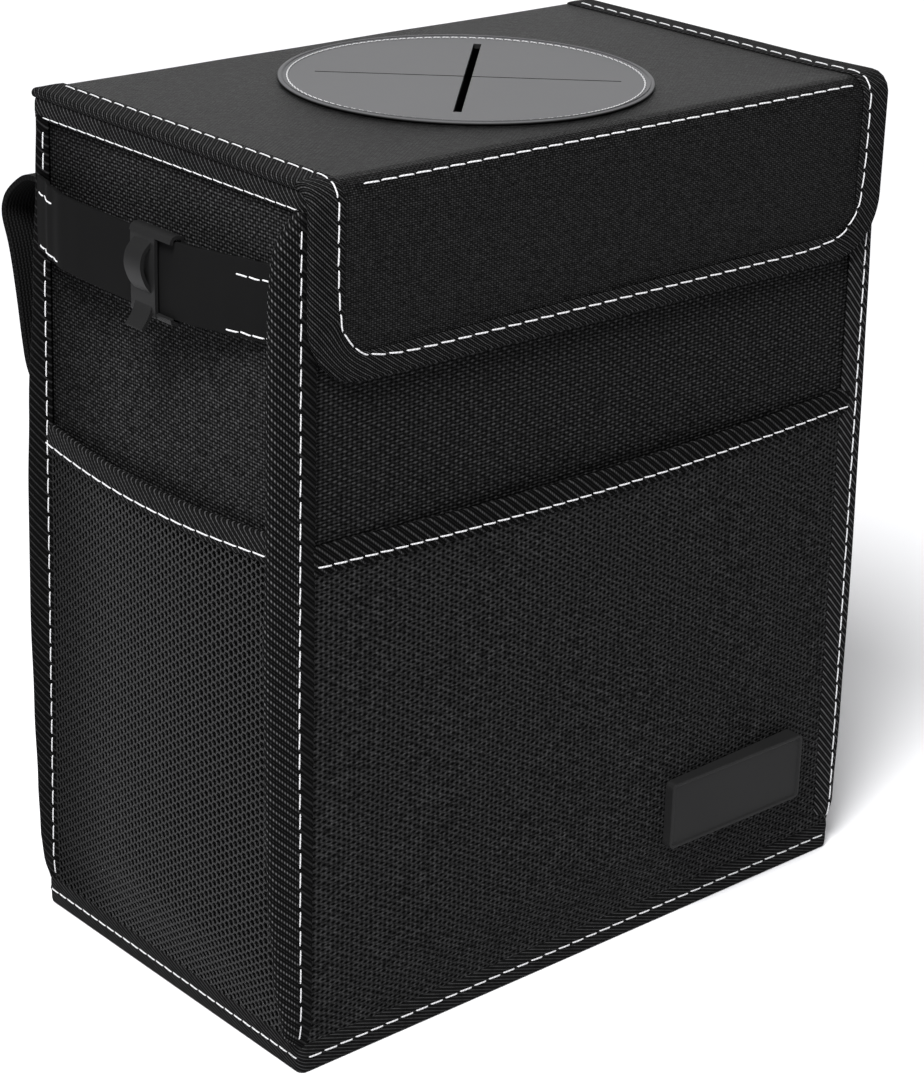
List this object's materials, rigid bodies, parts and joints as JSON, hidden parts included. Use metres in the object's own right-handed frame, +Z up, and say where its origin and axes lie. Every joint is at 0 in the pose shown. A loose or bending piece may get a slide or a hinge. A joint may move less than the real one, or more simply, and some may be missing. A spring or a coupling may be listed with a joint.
{
  "type": "car trash bin",
  "caption": "Upright box bin of bound black cloth on stiff boards, with a flap lid, a slotted disc in the lid, pockets, side hooks on straps and webbing loops behind.",
  "frame": {"origin": "centre of the footprint, on the surface that the bin stands on", "axes": "+Z up, -Y out of the front with the pocket, +X to the right seen from the front"},
  "size_m": [0.277, 0.1824, 0.2964],
  "materials": {
    "outer_cloth": "coarse plain weave, coated",
    "binding_tape": "ribbed twill tape",
    "stiffening_board": "smooth sheet",
    "liner_film": "smooth waterproof film",
    "mesh": "open knitted mesh",
    "strap": "smooth band",
    "hook_plastic": "satin moulding",
    "webbing": "ribbed webbing",
    "label_rubber": "matte moulding",
    "fastener": "hook and loop pile",
    "disc_rubber": "smooth matte sheet"
  },
  "bodies": {
    "bin": {"front_panel": "outer_cloth", "back_panel": "outer_cloth", "left_side_panel": "outer_cloth", "right_side_panel": "outer_cloth", "base_panel": "outer_cloth", "front_pocket": "outer_cloth", "front_left_binding": "binding_tape", "front_right_binding": "binding_tape", "back_left_binding": "binding_tape", "back_right_binding": "binding_tape", "base_binding": "binding_tape", "rim_binding": "binding_tape", "front_pocket_binding": "binding_tape", "left_mesh_binding": "binding_tape", "right_mesh_binding": "binding_tape", "front_board": "stiffening_board", "back_board": "stiffening_board", "left_side_board": "stiffening_board", "right_side_board": "stiffening_board", "base_board": "stiffening_board", "inner_liner": "liner_film", "left_mesh_pocket": "mesh", "right_mesh_pocket": "mesh", "left_strap": "strap", "right_strap": "strap", "left_hook": "hook_plastic", "right_hook": "hook_plastic", "back_left_loop": "webbing", "back_right_loop": "webbing", "front_label": "label_rubber", "loop_fastener": "fastener"},
    "lid": {"lid_cover": "outer_cloth", "lid_board": "stiffening_board", "lid_left_binding": "binding_tape", "lid_right_binding": "binding_tape", "slot_disc": "disc_rubber"},
    "flap": {"flap_cover": "outer_cloth", "flap_board": "stiffening_board", "flap_binding": "binding_tape", "hook_fastener": "fastener"}
  },
  "joints": [
    {"name": "lid_fold", "type": "hinge", "parent": "bin", "child": "lid", "pos_m": [0, 0.07, 0.2942], "axis": [-1, 0, 0], "range_deg": [0, 180]},
    {"name": "flap_fold", "type": "hinge", "parent": "lid", "child": "flap", "pos_m": [0, -0.0757, 0.2942], "axis": [-1, 0, 0], "range_deg": [0, 90]}
  ]
}
